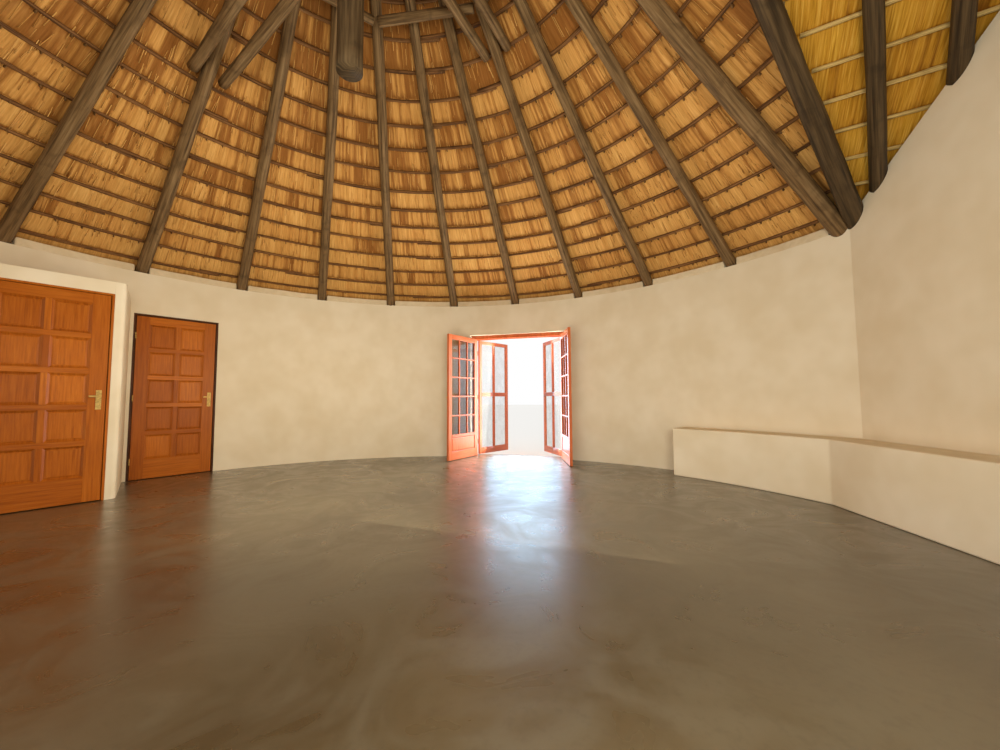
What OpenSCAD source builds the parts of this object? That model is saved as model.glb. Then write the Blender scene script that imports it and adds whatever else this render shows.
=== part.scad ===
// Rondavel hut: a round plastered wall under a cone of thatch on gum poles, with one
// straight side wall whose top rakes up under a small thatched gable.
// The origin is the centre of the ring wall on the ground, and the glazed doors face -Y.

/* [Round wall] */
// Inner radius of the ring wall
ring_r = 4465; // [3500:5:5500]
// Thickness of the plastered masonry
wall_t = 250; // [180:5:350]
// Height of the wall's inner top edge above the floor
wall_h = 2590; // [2200:10:3000]
// Thickness of the screed floor above the ground
floor_t = 80; // [40:5:150]

/* [Roof] */
// Rise of the roof for each metre of run
roof_rise = 684; // [550:1:1000]
// Thickness of the reed thatch, square to the slope
thatch_t = 200; // [120:5:300]
// Radius of the eaves on the underside of the thatch
eaves_r = 5060; // [4900:10:5600]
// Run between two rows of laths
lath_run = 219; // [150:1:320]
// Thickness of a lath
lath_d = 30; // [20:1:40]
// Reach of the small gable's thatch from the centre of the hut
verge_x = 4700; // [4500:10:4900]

/* [Poles] */
// Rafter diameter at the foot
rafter_d = 130; // [90:5:180]
// Rafter diameter at the top end
rafter_top_d = 96; // [70:2:140]
// Diameter of the heavy rafter beside the straight wall
heavy_d = 170; // [120:5:220]
// Diameter of the valley poles
valley_d = 165; // [120:5:220]
// Diameter of the king post
king_d = 150; // [100:5:220]
// Diameter of the tie poles and collar poles
tie_d = 90; // [70:5:120]

/* [Glazed doors] */
// Width of the opening for the glazed doors
french_w = 1650; // [1200:10:2000]
// Height of that opening above the floor
french_h = 2080; // [1950:5:2300]
// How far the left glazed leaf stands open
left_open = 108; // [0:1:112]
// How far the right glazed leaf stands open
right_open = 105; // [0:1:112]
// How far the left screen leaf stands open
left_screen_open = 62; // [0:1:95]
// How far the right screen leaf stands open
right_screen_open = 57; // [0:1:95]

/* [Panelled doors] */
// Width of the two panelled leaves
leaf_w = 810; // [700:1:900]
// Height of the two panelled leaves
leaf_h = 2032; // [1900:1:2150]
// Thickness of the panelled and glazed leaves
leaf_t = 40; // [32:1:45]

/* [Washroom corner] */
// Height of the washroom walls above the floor
wash_h = 2190; // [2100:10:2400]
// Thickness of the washroom walls
wash_t = 110; // [90:5:150]

/* [Bench] */
// Height of the masonry bench above the floor
bench_h = 590; // [400:10:800]
// Depth of the bench from the wall
bench_d = 350; // [200:10:500]

/* [Hidden] */
$fn = 256;
slope = roof_rise / 1000;
pitch = atan(slope);
steep = 1 / cos(pitch);              // height of a layer for each unit of its thickness
play = 0.5;                          // gap left where one piece is built against another
end_play = 0.006;                    // the same at a wall's end, in degrees
wall_top = floor_t + wall_h;
wall_out = ring_r + wall_t;
pole_lift = rafter_d * steep;        // from the rafters' underside to their top
thatch_lift = (rafter_d + lath_d) * steep + play;
thatch_high = thatch_t * steep;

// Directions round the ring, in degrees from +X
french_dir = -90;
side_dir = -25.2;
back_dir = 76;
gable_dir = -170.3;
gable_half = 24.2;                   // the straight wall takes this much to each side
bench_end = -122.8;

// Rafters are numbered backwards round the ring. Every third one or so is a main rafter.
rafter_dir0 = -75.7;
rafter_step = 360 / 26;
main_list = [-4, -1, 2, 5, 9, 12, 15, 18];
short_list = [-3, -2, 0, 1, 3, 4, 10, 11, 13, 14, 16, 17, 19, 20, 21];
heavy_rafter = 5;
foot_r = 4990;
main_end_r = 150;
short_end_r = 1240;
collar_r = 1400;
jack_list = [[6, 2520], [7, 1925], [8, 2985]];

// The second slope, in a plan turned so that the straight wall lies across +X
gable_x = ring_r * cos(gable_half);
gable_y = ring_r * sin(gable_half);
fall_dir = 245.5;                    // way up the second slope
fall_x = cos(fall_dir);
fall_y = sin(fall_dir);
valley_k = ring_r * (1 + cos(gable_half - fall_dir));
valley_r = valley_k / (1 + cos(fall_dir));
gable_rafter_steps = [270, 950];     // how far along the straight wall from its corner
gable_rafter_dir = 231.5;

bed_h = 90;                          // height of the bedding on the wall's inner edge
king_foot = floor_t + 2900;
tie_gap = king_d + tie_d + 5;

// Opening and frame of the panelled doors
jamb_w = 20;
frame_play = 6;
lock_play = 8;
floor_play = 8;
door_w = leaf_w + frame_play + lock_play + 2 * jamb_w;
door_h = leaf_h + floor_play + frame_play + jamb_w;
pin_off = 3;                         // hinge pin to the leaf's edge
pin_out = 6;                         // hinge pin proud of the leaf's face

// Washroom corner: its outer corner and the way its door wall runs
wash_p = [3359, -922];
wash_dir = 65.6;
wash_ring_dir = -19.2;
wash_pier = 80;
wash_side = [cos(wash_dir), sin(wash_dir)];
wash_in = [sin(wash_dir), -cos(wash_dir)];
wash_q = ring_r * [cos(wash_ring_dir), sin(wash_ring_dir)];
wash_back = (wash_q - wash_p) / norm(wash_q - wash_p);
wash_back_in = [-wash_back[1], wash_back[0]];
wash_sine = wash_side[1] * wash_back[0] - wash_side[0] * wash_back[1];
wash_inner = wash_p + (wash_side + wash_back) * wash_t / wash_sine;

// Glazed doors and their screens
french_jamb = 60;
french_in_y = -4500;                 // inner face of the frame and of the closed leaves
french_out_y = -4620;
screen_t = 34;
glazed_w = french_w / 2 - french_jamb - 2 * pin_off - 5;
glazed_h = french_h - french_jamb - floor_play - 6;
french_pin_x = french_w / 2 - french_jamb - pin_off;
glazed_stile = 78;
glazed_low = 190;
glazing_bar = 24;
pane_step = [(glazed_w - 2 * glazed_stile + glazing_bar) / 3,
    (glazed_h - glazed_stile - glazed_low + glazing_bar) / 5];
screen_stile = 62;
screen_low = 110;
screen_mid = 1010;

// Height of the rafters' underside on the cone, and on the second slope
function under(r) = wall_top + slope * (ring_r - r);
function under2(x, y) = wall_top + slope * (fall_x * (x - gable_x) + fall_y * (y - gable_y));
function rafter_dir(k) = rafter_dir0 - k * rafter_step;
// Half the angle that the second slope takes out of the cone at radius r
function valley_half(r) = r < valley_r ? 0 : acos(valley_k / r - 1) - (360 - fall_dir);
function lath_radii() = [for (i = [0 : 20]) ring_r + 3 + lath_run * (2 - i)];

module arc(a0, a1, points) {
    rotate([0, 0, a0]) rotate_extrude(angle = a1 - a0) polygon(points);
}

// A pole from p to q, dp thick at p and dq at q
module pole(p, q, dp, dq) {
    v = q - p;
    translate(p) rotate([0, acos(v[2] / norm(v)), atan2(v[1], v[0])])
        cylinder(h = norm(v), d1 = dp, d2 = dq, $fn = 72);
}

// A rafter on the cone from radius r0 in to r1, its top just under the laths. With some
// extra it is the rafter's own pocket, wider by that.
module rafter(k, r0, r1, d0, d1, extra = 0) {
    rotate([0, 0, rafter_dir(k)]) pole([r0, 0, under(r0) + pole_lift - d0 / 2 * steep],
        [r1, 0, under(r1) + pole_lift - d1 / 2 * steep], d0 + extra, d1 + extra);
}

module heavy_rafter_shape(extra) {
    rafter(heavy_rafter, foot_r, main_end_r, heavy_d, 120, extra);
}

// The same on the second slope, between two points of the turned plan
module slope_pole(x0, y0, x1, y1, d0, d1, extra = 0) {
    pole([x0, y0, under2(x0, y0) + pole_lift - d0 / 2 * steep],
        [x1, y1, under2(x1, y1) + pole_lift - d1 / 2 * steep], d0 + extra, d1 + extra);
}

// The valley pole on one side, let into the wall's corner. A pocket is also longer, by
// half of its extra at each end.
module valley_pole(side, extra) {
    run = [gable_x - valley_r, gable_y] / norm([gable_x - valley_r, gable_y]);
    low = 120 + extra / 2;
    high = 125 - extra / 2;
    rotate([0, 0, gable_dir]) mirror([0, side, 0])
        slope_pole(gable_x + low * run[0], gable_y + low * run[1] - 60,
            valley_r + high * run[0], high * run[1], valley_d, 140, extra);
}

// The rafters under the second slope and its mirror image
module gable_poles(extra) {
    way = [cos(gable_rafter_dir), sin(gable_rafter_dir)];
    rotate([0, 0, gable_dir]) for (m = [0, 1]) mirror([0, m, 0]) for (s = gable_rafter_steps) {
        foot = [gable_x + 45, gable_y - s];
        low = foot - way * extra / 2;
        high = foot + way * (foot[1] - 125) / -way[1];
        slope_pole(low[0], low[1], high[0], high[1], 120, 104, extra);
    }
}

module ridge_shape(extra) {
    rotate([0, 0, gable_dir])
        slope_pole(gable_x + 110 + extra / 2, 0, valley_r + 240, 0, 120, 110, extra);
}

// All that lies under the second slope and its mirror image, with both raised by up
module under_gable(up, x0, x1, half) {
    rotate([0, 0, gable_dir]) intersection() {
        slope_block(up);
        mirror([0, 1, 0]) slope_block(up);
        translate([x0, -half, 0]) cube([x1 - x0, 2 * half, 6500]);
    }
}

module slope_block(up) {
    translate([gable_x, gable_y, wall_top + up]) rotate([0, 0, fall_dir])
        rotate([0, -pitch, 0]) translate([-3000, -7000, -8000]) cube([12000, 14000, 8000]);
}

// All that lies under the cone, with its surface raised by up
module under_cone(up) {
    rotate_extrude() polygon([[0, 0], [7000, 0], [7000, under(7000) + up], [0, under(0) + up]]);
}

// Ring wall between two directions; its top rakes with the rafters that lie on it
module ring_wall(a0, a1) {
    arc(a0, a1, [[ring_r, 0], [wall_out, 0], [wall_out, under(wall_out)], [ring_r, wall_top]]);
}

// Straight-sided gap through the ring wall for a doorway
module doorway(a, w, z0, z1) {
    rotate([0, 0, a]) translate([ring_r - 400, -w / 2, z0]) cube([wall_t + 800, w, z1 - z0]);
}

module floor() {
    color([0.42, 0.40, 0.33]) difference() {
        cylinder(r = ring_r - play, h = floor_t);
        rotate([0, 0, gable_dir]) translate([gable_x - play, -3000, -10]) cube([1000, 6000, 200]);
    }
}

// The floor carried through the two outer doorways
module door_sills() {
    color([0.45, 0.42, 0.35]) for (d = [[french_dir, 12, french_w], [side_dir, 8, door_w]])
        intersection() {
            arc(d[0] - d[1], d[0] + d[1], [[ring_r, 0], [wall_out, 0], [wall_out, floor_t],
                [ring_r, floor_t]]);
            doorway(d[0], d[2], 0, floor_t);
        }
}

module front_left_wall() {
    color([0.86, 0.77, 0.62]) difference() {
        ring_wall(gable_dir + gable_half + end_play, french_dir);
        doorway(french_dir, french_w, -10, 3000);
        heavy_rafter_shape(6);
        valley_pole(0, 6);
    }
}

module front_right_wall() {
    color([0.86, 0.77, 0.62]) difference() {
        ring_wall(french_dir, side_dir);
        doorway(french_dir, french_w, -10, 3000);
        doorway(side_dir, door_w, -10, 3000);
    }
}

module side_wall() {
    color([0.86, 0.77, 0.62]) difference() {
        ring_wall(side_dir, back_dir);
        doorway(side_dir, door_w, -10, 3000);
    }
}

module back_wall() {
    color([0.86, 0.77, 0.62]) difference() {
        ring_wall(back_dir, gable_dir + 360 - gable_half - end_play);
        valley_pole(1, 6);
    }
}

module wall_over_glazed_doors() {
    color([0.86, 0.77, 0.62]) intersection() {
        ring_wall(french_dir - 12, french_dir + 12);
        doorway(french_dir, french_w, floor_t + french_h, 3000);
    }
}

module wall_over_side_door() {
    color([0.86, 0.77, 0.62]) intersection() {
        ring_wall(side_dir - 8, side_dir + 8);
        doorway(side_dir, door_w, floor_t + door_h, 3000);
    }
}

// Straight wall between the two ends of the ring. Its top follows the second slope, bedded
// round the poles that rest on it and built up behind their ends.
module gable_wall() {
    end_x = wall_out * cos(gable_half);
    end_y = wall_out * sin(gable_half);
    face_x = gable_x + wall_t;
    face_y = sqrt(wall_out * wall_out - face_x * face_x);
    color([0.86, 0.77, 0.62]) difference() {
        intersection() {
            rotate([0, 0, gable_dir]) linear_extrude(4400)
                polygon([[gable_x, -gable_y], [end_x, -end_y], [face_x, -face_y],
                    [face_x, face_y], [end_x, end_y], [gable_x, gable_y]]);
            union() {
                under_gable(bed_h, 3000, 5000, 3000);
                under_gable(pole_lift, gable_x + 125, 5000, 3000);
            }
        }
        valley_pole(0, 6);
        valley_pole(1, 6);
        gable_poles(6);
        ridge_shape(6);
        heavy_rafter_shape(6);
    }
}

// Masonry that beds the rafters' feet, built up behind to the laths
module beam_filling() {
    color([0.80, 0.70, 0.55]) {
        for (k = [-4 : 4]) filling(k, rafter_dir(k + 1), k + 1 == heavy_rafter ? heavy_d : rafter_d);
        for (k = [9 : 21]) filling(k, rafter_dir(k + 1), rafter_d);
        filling(heavy_rafter + 3, rafter_dir(9), rafter_d);
    }
}

// One block from rafter k to the rafter at direction a, which is d thick
module filling(k, a, d) {
    r1 = ring_r + 120;
    a0 = a + asin((d / 2 + 4) / ring_r);
    a1 = k == heavy_rafter + 3 ? gable_dir - gable_half - 1.6
        : rafter_dir(k) - asin((rafter_d / 2 + 4) / ring_r);
    arc(a0, a1, [[ring_r, wall_top + play], [wall_out, under(wall_out) + play],
        [wall_out, under(wall_out) + pole_lift - play], [r1, under(r1) + pole_lift - play],
        [r1, under(r1) + bed_h], [ring_r, wall_top + bed_h]]);
}

// Low masonry bench round the wall's curve and along part of the straight wall
module bench() {
    r0 = ring_r - bench_d;
    end = 5000 * [cos(bench_end - gable_dir), sin(bench_end - gable_dir)];
    low_y = gable_y - 1400;
    color([0.86, 0.79, 0.66]) translate([0, 0, floor_t]) rotate([0, 0, gable_dir]) difference() {
        intersection() {
            cylinder(r = ring_r - play, h = bench_h);
            linear_extrude(bench_h) polygon([[0, 0], [3400, low_y], [gable_x - play, low_y],
                [gable_x - play, 5000], end]);
        }
        translate([0, 0, -10]) intersection() {
            cylinder(r = r0, h = bench_h + 20);
            translate([-r0, -r0, 0]) cube([r0 + gable_x - bench_d, 2 * r0, bench_h + 20]);
        }
    }
}

// Pier at the washroom's rounded corner, with the short wall back to the ring
module washroom_pier() {
    round_r = 45;
    middle = wash_p + (wash_side + wash_back) * round_r / wash_sine;
    a0 = wash_dir + 90;
    a1 = atan2(wash_back[1], wash_back[0]) + 270;
    rounded = [for (i = [0 : 8]) middle + round_r * [cos(a0 + (a1 - a0) * i / 8), sin(a0 + (a1 - a0) * i / 8)]];
    color([0.87, 0.79, 0.64]) intersection() {
        translate([0, 0, floor_t]) linear_extrude(wash_h)
            polygon(concat(rounded, [wash_q + wash_back * 200,
                wash_q + wash_back * 200 + wash_back_in * wash_t, wash_inner,
                wash_p + wash_side * (wash_pier - play) + wash_in * wash_t,
                wash_p + wash_side * (wash_pier - play)]));
        within_ring();
    }
}

// All that stands inside the ring wall
module within_ring() {
    cylinder(r = ring_r - play, h = 4000);
}

// Puts the washroom's door wall in place: it runs along X, and the room is at +Y
module washroom_place() {
    translate([wash_p[0], wash_p[1], floor_t]) rotate([0, 0, wash_dir]) children();
}

module washroom_wall() {
    color([0.87, 0.79, 0.64]) intersection() {
        washroom_place() translate([wash_pier + door_w, -wash_t, 0]) cube([3000, wash_t, wash_h]);
        within_ring();
    }
}

module washroom_head() {
    color([0.87, 0.79, 0.64]) washroom_place() translate([wash_pier, -wash_t, door_h])
        cube([door_w, wash_t, wash_h - door_h]);
}

module washroom_ceiling() {
    color([0.78, 0.72, 0.62]) intersection() {
        translate([0, 0, floor_t + wash_h - 80]) linear_extrude(80)
            polygon([wash_inner, wash_inner + wash_back * 3000,
                wash_inner + wash_back * 3000 + wash_side * 4000, wash_inner + wash_side * 4000]);
        within_ring();
    }
}

module main_rafters() {
    color([0.36, 0.28, 0.19]) {
        for (k = main_list) if (k != heavy_rafter)
            rafter(k, foot_r, main_end_r, rafter_d, rafter_top_d);
        heavy_rafter_shape(0);
    }
}

module short_rafters() {
    color([0.38, 0.30, 0.20]) for (k = short_list)
        rafter(k, foot_r, short_end_r, rafter_d, rafter_top_d + 6);
}

// Rafters that stop on a valley pole and are coped to it
module jack_rafters() {
    color([0.38, 0.30, 0.20]) for (j = jack_list) difference() {
        rafter(j[0], j[1], short_end_r, rafter_d - 12, rafter_top_d + 6);
        valley_pole(0, 4);
        valley_pole(1, 4);
    }
}

module valley_poles() {
    color([0.30, 0.23, 0.16]) {
        difference() {
            valley_pole(0, 0);
            heavy_rafter_shape(4);
        }
        valley_pole(1, 0);
    }
}

module gable_rafters() { color([0.30, 0.24, 0.17]) gable_poles(0); }
module ridge_pole() { color([0.33, 0.26, 0.18]) ridge_shape(0); }

// Rows of eight-sided laths, one flat on the rafters and one under the thatch. Each row is
// level, and stops at the valleys.
module laths() {
    color([0.25, 0.17, 0.10]) for (r = lath_radii()) {
        half = valley_half(r);
        stop = half > 0 ? half + asin(30 / r) : 0;
        rotate([0, 0, gable_dir + stop]) translate([0, 0, under(r) + pole_lift + lath_d / 2 * steep])
            rotate_extrude(angle = 360 - 2 * stop) translate([r, 0]) rotate(22.5 - pitch)
                circle(d = lath_d / cos(22.5), $fn = 8);
    }
}

// Laths of the second slope, level with the rows of the cone
module gable_laths() {
    color([0.25, 0.17, 0.10]) rotate([0, 0, gable_dir]) for (m = [0, 1]) mirror([0, m, 0])
        for (r = lath_radii()) if (r > valley_r + 60) {
            s = ring_r - r;
            p = [gable_x + fall_x * s, gable_y + fall_y * s];
            z = wall_top + slope * s + pole_lift + lath_d / 2 * steep;
            start = (r * cos(valley_half(r)) - p[0]) / -fall_y + 25;
            to_ridge = (p[1] - 22) / -fall_x;
            to_verge = (verge_x - 40 - p[0]) / -fall_y;
            stop = min(to_ridge, to_verge);
            if (stop > start + 60)
                pole([p[0] - fall_y * start, p[1] + fall_x * start, z],
                    [p[0] - fall_y * stop, p[1] + fall_x * stop, z], lath_d, lath_d);
        }
}

// Cone of thatch, cut square to the slope at the eaves
module thatch() {
    top_r = eaves_r + thatch_t * sin(pitch);
    up = thatch_lift + thatch_high;
    color([0.72, 0.50, 0.24]) difference() {
        rotate([0, 0, 0.73]) rotate_extrude() polygon([[0, under(0) + thatch_lift],
            [eaves_r, under(eaves_r) + thatch_lift], [top_r, under(top_r) + up], [0, under(0) + up]]);
        under_gable(up, 900, 6000, 3500);
    }
}

// Thatch of the second slope, whose eaves carry on the cut of the cone's eaves
module gable_thatch() {
    base = under(eaves_r) + thatch_lift;
    low = 1800;
    high = 6400;
    color([0.70, 0.48, 0.23]) difference() {
        intersection() {
            under_gable(thatch_lift + thatch_high, 1000, verge_x, 3500);
            rotate_extrude() polygon([[0, low], [eaves_r + slope * (low - base), low],
                [eaves_r + slope * (high - base), high], [0, high]]);
        }
        under_gable(thatch_lift, 0, 6000, 3500);
        under_cone(thatch_lift);
    }
}

// Mortar cap on the peak
module peak_cap() {
    z = under(0) + thatch_lift + thatch_high + play;
    color([0.62, 0.56, 0.47]) rotate_extrude() polygon([[0, z], [520, z - slope * 520],
        [535, z - slope * 520 + 25], [330, z - slope * 330 + 75], [150, z + 20], [60, z + 70],
        [0, z + 80]]);
}

// Mortar cap along the small gable's ridge
module gable_cap() {
    up = thatch_lift + thatch_high + play;
    color([0.62, 0.56, 0.47]) difference() {
        under_gable(up + 45, 1500, verge_x + 15, 260);
        under_gable(up, 0, 6000, 3000);
        under_cone(up);
    }
}

module king_post() {
    color([0.34, 0.26, 0.17]) translate([0, 0, king_foot])
        cylinder(h = under(0) + 120 - king_foot, d1 = king_d, d2 = king_d - 20, $fn = 72);
}

// Two pairs of poles that clasp the king post, and a main rafter at each end
module tie_poles() {
    color([0.42, 0.34, 0.24]) for (t = [[-4, 4119, 2385], [2, 4522, 1795]])
        rotate([0, 0, rafter_dir(t[0])]) for (s = [-1, 1])
            pole([-t[2], s * tie_gap / 2, floor_t + t[1]], [t[2], s * tie_gap / 2, floor_t + t[1]],
                tie_d, tie_d);
}

// Collar of poles under the short rafters' ends, from each main rafter to the next
module collar_poles() {
    n = len(main_list);
    z = under(collar_r) - tie_d / 2 - 2;
    color([0.42, 0.34, 0.24]) for (i = [0 : n - 1]) {
        a = rafter_dir(main_list[i]);
        b = rafter_dir(main_list[(i + 1) % n] + (i == n - 1 ? 26 : 0));
        p = collar_r * [cos(a), sin(a)];
        q = collar_r * [cos(b), sin(b)];
        cut = (q - p) / norm(q - p) * 26;
        pole([p[0] + cut[0], p[1] + cut[1], z], [q[0] - cut[0], q[1] - cut[1], z],
            tie_d, tie_d - 10);
    }
}

// Frame of the glazed doors, rebated on both sides for the leaves and the screens
module glazed_door_frame() {
    half = french_w / 2;
    face = half - french_jamb;
    stop = face - 14;
    in_y = french_in_y;
    out_y = french_out_y;
    color([0.52, 0.22, 0.08]) union() {
        for (m = [0, 1]) mirror([m, 0, 0]) translate([0, 0, floor_t]) linear_extrude(french_h)
            polygon([[face, in_y], [half, in_y], [half, out_y], [face, out_y], [face, out_y + 41],
                [stop, out_y + 41], [stop, in_y - 46], [face, in_y - 46]]);
        translate([-half, out_y, floor_t + french_h - french_jamb])
            cube([french_w, in_y - out_y, french_jamb]);
        translate([-half, out_y + 41, floor_t + french_h - french_jamb - 14])
            cube([french_w, in_y - out_y - 87, french_jamb]);
    }
}

// Puts a leaf on its hinge pin: glazed leaves swing into the room, screens swing out
module on_pin(side, inner, angle) {
    pin_y = inner ? french_in_y + pin_out : french_out_y - pin_out;
    mirror([side, 0, 0]) translate([french_pin_x, pin_y, floor_t + floor_play])
        rotate([0, 0, 180 + (inner ? -angle : angle)]) children();
}

// Boxes for the fifteen panes of a glazed leaf, each smaller by less all round
module pane_boxes(y, t, less) {
    for (i = [0 : 2], j = [0 : 4])
        translate([glazed_stile + i * pane_step[0] + less, y, glazed_low + j * pane_step[1] + less])
            cube([pane_step[0] - glazing_bar - 2 * less, t, pane_step[1] - glazing_bar - 2 * less]);
}

// Glazed leaf from its pin along +X: stiles, rails and glazing bars
module glazed_leaf() {
    color([0.55, 0.24, 0.08]) translate([pin_off, pin_out, 0]) difference() {
        cube([glazed_w, leaf_t, glazed_h]);
        pane_boxes(-5, leaf_t + 10, 0);
        for (y = [-1, leaf_t - 7]) translate([glazed_stile + 20, y, 50])
            cube([glazed_w - 2 * glazed_stile - 40, 8, glazed_low - 100]);
    }
}

module glass_panes() {
    color([0.80, 0.88, 0.88]) translate([pin_off, pin_out, 0]) pane_boxes(leaf_t / 2 - 2, 4, 0.5);
}

// The four meshed spaces of a screen leaf, each smaller by less all round
module screen_boxes(y, t, less) {
    w = (glazed_w - 2 * screen_stile - 40) / 2;
    for (x = [screen_stile, screen_stile + w + 40])
        for (z = [[screen_low, screen_mid], [screen_mid + 70, glazed_h - screen_stile]])
            translate([x + less, y, z[0] + less]) cube([w - 2 * less, t, z[1] - z[0] - 2 * less]);
}

// Screen leaf from its pin along +X, with a middle stile and a middle rail
module screen_leaf() {
    color([0.50, 0.22, 0.09]) translate([pin_off, -pin_out - screen_t, 0]) difference() {
        cube([glazed_w, screen_t, glazed_h]);
        screen_boxes(-5, screen_t + 10, 0);
    }
}

module screen_mesh() {
    color([0.25, 0.27, 0.26]) translate([pin_off, -pin_out - screen_t, 0])
        screen_boxes(screen_t / 2 - 1.5, 3, 0.5);
}

module left_glazed_leaf() { on_pin(0, true, left_open) glazed_leaf(); }
module left_panes() { on_pin(0, true, left_open) glass_panes(); }
module right_glazed_leaf() { on_pin(1, true, right_open) glazed_leaf(); }
module right_panes() { on_pin(1, true, right_open) glass_panes(); }
module left_screen_leaf() { on_pin(0, false, left_screen_open) screen_leaf(); }
module left_mesh() { on_pin(0, false, left_screen_open) screen_mesh(); }
module right_screen_leaf() { on_pin(1, false, right_screen_open) screen_leaf(); }
module right_mesh() { on_pin(1, false, right_screen_open) screen_mesh(); }

// Plate and lever on a face at y = 0, with the room at -Y and the leaf's edge at +X
module lock_set(lever) {
    color([0.80, 0.62, 0.28]) union() {
        translate([-20, -3, -95]) cube([40, 3, 190]);
        translate([0, 0, 35]) rotate([90, 0, 0]) cylinder(h = 42, d = 18);
        translate([-lever, -48, 27]) cube([lever + 9, 12, 16]);
    }
}

module lever_handle() {
    on_pin(0, true, left_open) translate([pin_off + glazed_w - 40, pin_out, 960]) lock_set(95);
}

// Ten panel leaf from its pin along +X, with the room side at y = pin_out
module panel_leaf() {
    stile = 105;
    middle = 95;
    rail = 80;
    low = 190;
    w = (leaf_w - 2 * stile - middle) / 2;
    h = (leaf_h - stile - low - 4 * rail) / 5;
    color([0.60, 0.25, 0.07]) translate([pin_off, pin_out, 0]) difference() {
        cube([leaf_w, leaf_t, leaf_h]);
        for (i = [0, 1], j = [0 : 4], y = [-1, leaf_t - 9])
            translate([stile + i * (w + middle), y, low + j * (h + rail)]) difference() {
                cube([w, 10, h]);
                translate([38, y < 0 ? 4 : -1, 38]) cube([w - 76, 7, h - 76]);
            }
    }
}

// Thin frame of a panelled door in an opening from x = 0 to door_w, with the room at -Y
module panel_frame(depth) {
    back = leaf_t + 6;
    color([0.30, 0.13, 0.06]) union() {
        for (x = [0, door_w - jamb_w]) translate([x, 0, 0]) cube([jamb_w, depth, door_h]);
        translate([0, 0, door_h - jamb_w]) cube([door_w, depth, jamb_w]);
        for (x = [0, door_w - jamb_w - 14]) translate([x, back, 0])
            cube([jamb_w + 14, depth - back, door_h]);
        translate([0, back, door_h - jamb_w - 14]) cube([door_w, depth - back, 20]);
    }
}

// A panelled leaf and its lock, closed in such an opening
module closed_leaf() {
    translate([jamb_w + frame_play - pin_off, -pin_out, floor_play]) panel_leaf();
}

module closed_lock() {
    translate([jamb_w + frame_play + leaf_w - 48, 0, floor_play + 980]) lock_set(70);
}

// Side door, with its hinges towards the washroom
module side_place() {
    rotate([0, 0, side_dir]) translate([sqrt(ring_r * ring_r - door_w * door_w / 4), door_w / 2, floor_t])
        rotate([0, 0, -90]) children();
}

module side_door_frame() { side_place() panel_frame(105); }
module side_door() { side_place() closed_leaf(); }
module side_door_lock() { side_place() closed_lock(); }

// Washroom door, with its hinges away from the corner
module washroom_door_place() {
    washroom_place() translate([wash_pier + door_w, 0, 0]) rotate([0, 0, 180]) children();
}

module washroom_door_frame() { washroom_door_place() panel_frame(wash_t); }
module washroom_door() { washroom_door_place() closed_leaf(); }
module washroom_door_lock() { washroom_door_place() closed_lock(); }

floor();
door_sills();
front_left_wall();
front_right_wall();
side_wall();
back_wall();
wall_over_glazed_doors();
wall_over_side_door();
gable_wall();
beam_filling();
bench();
washroom_pier();
washroom_wall();
washroom_head();
washroom_ceiling();
main_rafters();
short_rafters();
jack_rafters();
valley_poles();
gable_rafters();
ridge_pole();
laths();
gable_laths();
thatch();
gable_thatch();
peak_cap();
gable_cap();
king_post();
tie_poles();
collar_poles();
glazed_door_frame();
left_glazed_leaf();
left_panes();
lever_handle();
right_glazed_leaf();
right_panes();
left_screen_leaf();
left_mesh();
right_screen_leaf();
right_mesh();
side_door_frame();
side_door();
side_door_lock();
washroom_door_frame();
washroom_door();
washroom_door_lock();
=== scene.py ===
import itertools
import random
import time
from math import acos, asin, atan, atan2, cos, exp, hypot, pi, radians, remainder, sin, sqrt, tau

import bmesh
import bpy
import numpy as np
from mathutils import Matrix, Vector, noise


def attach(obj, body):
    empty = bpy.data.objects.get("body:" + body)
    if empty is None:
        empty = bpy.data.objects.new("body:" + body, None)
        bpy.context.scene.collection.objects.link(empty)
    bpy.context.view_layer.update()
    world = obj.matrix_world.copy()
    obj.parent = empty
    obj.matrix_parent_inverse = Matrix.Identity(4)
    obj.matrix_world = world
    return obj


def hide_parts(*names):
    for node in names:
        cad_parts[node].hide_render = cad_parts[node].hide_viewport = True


noise.seed_set(5)  # the swaying noise is the same in every run
clock = time.time()
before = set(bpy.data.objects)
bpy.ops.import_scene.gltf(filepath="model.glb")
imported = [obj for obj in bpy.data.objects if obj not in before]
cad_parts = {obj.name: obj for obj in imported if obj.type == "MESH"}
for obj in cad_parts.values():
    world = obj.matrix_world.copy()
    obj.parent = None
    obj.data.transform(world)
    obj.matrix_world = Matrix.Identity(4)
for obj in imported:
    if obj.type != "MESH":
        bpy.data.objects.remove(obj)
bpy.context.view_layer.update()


def stage(text):
    print(text, "after", round(time.time() - clock, 1), "s")


stage("frame loaded")

hut = {
    "ringIn": 4.465,                     # inner radius of the ring wall
    "wallTop": 2.67,                     # inner top edge of the ring wall
    "rise": 0.684,                       # of the roof, for each metre of run
    "rafter": 0.13,                      # diameter of a rafter's foot
    "lath": 0.03,
    "thatch": 0.2,
    "eaves": 5.06,
    "lathRun": 0.219,
    "lathRows": 21,
    "gableAngle": -170.3,
    "gableHalf": 24.2,
    "fallAngle": 245.5,                  # way up the second slope, in the gable's own plan
    "verge": 4.7,
}
pitch = atan(hut["rise"])
steep = 1 / cos(pitch)
lathLift = hut["rafter"] * steep         # from the rafters' underside up to the laths
thatchLift = (hut["rafter"] + hut["lath"]) * steep
outerLift = thatchLift + hut["thatch"] * steep
gableX = hut["ringIn"] * cos(radians(hut["gableHalf"]))
gableY = hut["ringIn"] * sin(radians(hut["gableHalf"]))
fallX = cos(radians(hut["fallAngle"]))
fallY = sin(radians(hut["fallAngle"]))
gableTurn = Matrix.Rotation(radians(hut["gableAngle"]), 4, "Z")
gableBack = gableTurn.inverted()
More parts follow.
